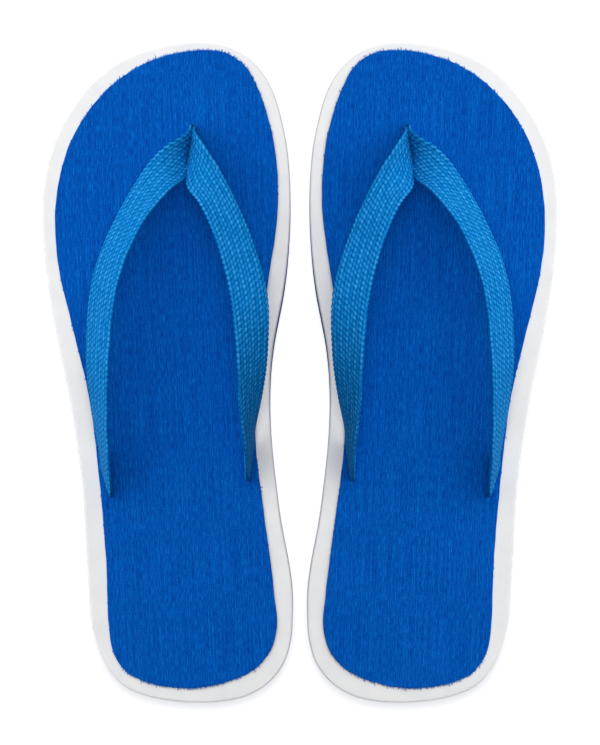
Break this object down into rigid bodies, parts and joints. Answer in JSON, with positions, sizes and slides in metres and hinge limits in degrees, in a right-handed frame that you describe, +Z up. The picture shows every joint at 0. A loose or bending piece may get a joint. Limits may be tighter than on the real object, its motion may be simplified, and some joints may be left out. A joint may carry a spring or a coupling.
{
  "type": "pair of thong flip flops",
  "caption": "Pair of layered-foam thong flip flops with fabric topsheets and webbing straps that pass through slots in the sole.",
  "frame": {"origin": "on the ground, midway between the two shoes and midway from toe to heel", "axes": "+Y towards the toes, +X to the wearer's right, +Z up"},
  "size_m": [0.206, 0.2644, 0.0513],
  "materials": {
    "topsheet": "matte",
    "footbed_foam": "matte",
    "midsole_foam": "matte",
    "outsole_foam": "matte",
    "webbing": "matte",
    "anchor_plastic": "satin",
    "thread": "matte"
  },
  "bodies": {
    "left_shoe": {"left_fabric_topsheet": "topsheet", "left_footbed_foam": "footbed_foam", "left_midsole_foam": "midsole_foam", "left_outsole": "outsole_foam", "left_lateral_strap": "webbing", "left_medial_strap": "webbing", "left_toe_stitching": "thread", "left_toe_anchor_plate": "anchor_plastic", "left_lateral_anchor_plate": "anchor_plastic", "left_medial_anchor_plate": "anchor_plastic"},
    "right_shoe": {"right_fabric_topsheet": "topsheet", "right_footbed_foam": "footbed_foam", "right_midsole_foam": "midsole_foam", "right_outsole": "outsole_foam", "right_lateral_strap": "webbing", "right_medial_strap": "webbing", "right_toe_stitching": "thread", "right_toe_anchor_plate": "anchor_plastic", "right_lateral_anchor_plate": "anchor_plastic", "right_medial_anchor_plate": "anchor_plastic"}
  },
  "joints": [
    {"name": "right_shoe_lift", "type": "slide", "parent": "left_shoe", "child": "right_shoe", "axis": [0, 0, 1], "range_m": [0, 0.1]}
  ]
}
